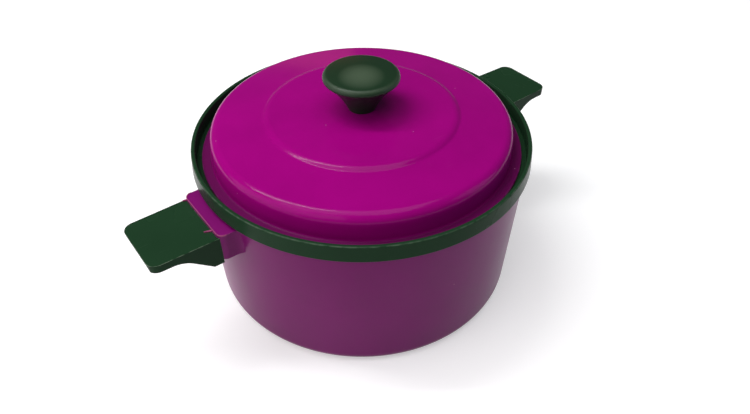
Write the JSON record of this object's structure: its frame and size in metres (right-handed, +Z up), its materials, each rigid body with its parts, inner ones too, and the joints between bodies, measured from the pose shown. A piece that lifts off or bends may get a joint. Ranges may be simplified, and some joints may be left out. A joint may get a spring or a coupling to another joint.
{
  "type": "toy cooking pot with lid",
  "caption": "Toy cooking pot for pretend play: a tapered plastic pot with a rim ring and side tab handles, and a lift-off stepped lid with a mushroom knob.",
  "frame": {"origin": "on the pot's axis, at the level of the table that its foot ring stands on", "axes": "+Z up along the pot's axis, +X towards the right handle, so the handles lie along X"},
  "size_m": [0.1726, 0.121, 0.0832],
  "materials": {
    "pot_plastic": "satin moulded plastic, dull purple",
    "lid_plastic": "semi-gloss moulded plastic, magenta",
    "green_plastic": "semi-gloss moulded plastic, dark green",
    "screw_steel": "zinc-plated steel"
  },
  "bodies": {
    "pot_assembly": {"pot_body": "pot_plastic", "rim_ring": "green_plastic", "handle_left": "green_plastic", "handle_right": "green_plastic", "handle_screws": "screw_steel"},
    "lid_assembly": {"lid": "lid_plastic", "knob": "green_plastic", "knob_screw": "screw_steel"}
  },
  "joints": [
    {"name": "lid_lift", "type": "slide", "parent": "pot_assembly", "child": "lid_assembly", "axis": [0, 0, 1], "range_m": [0, 0.08]}
  ]
}
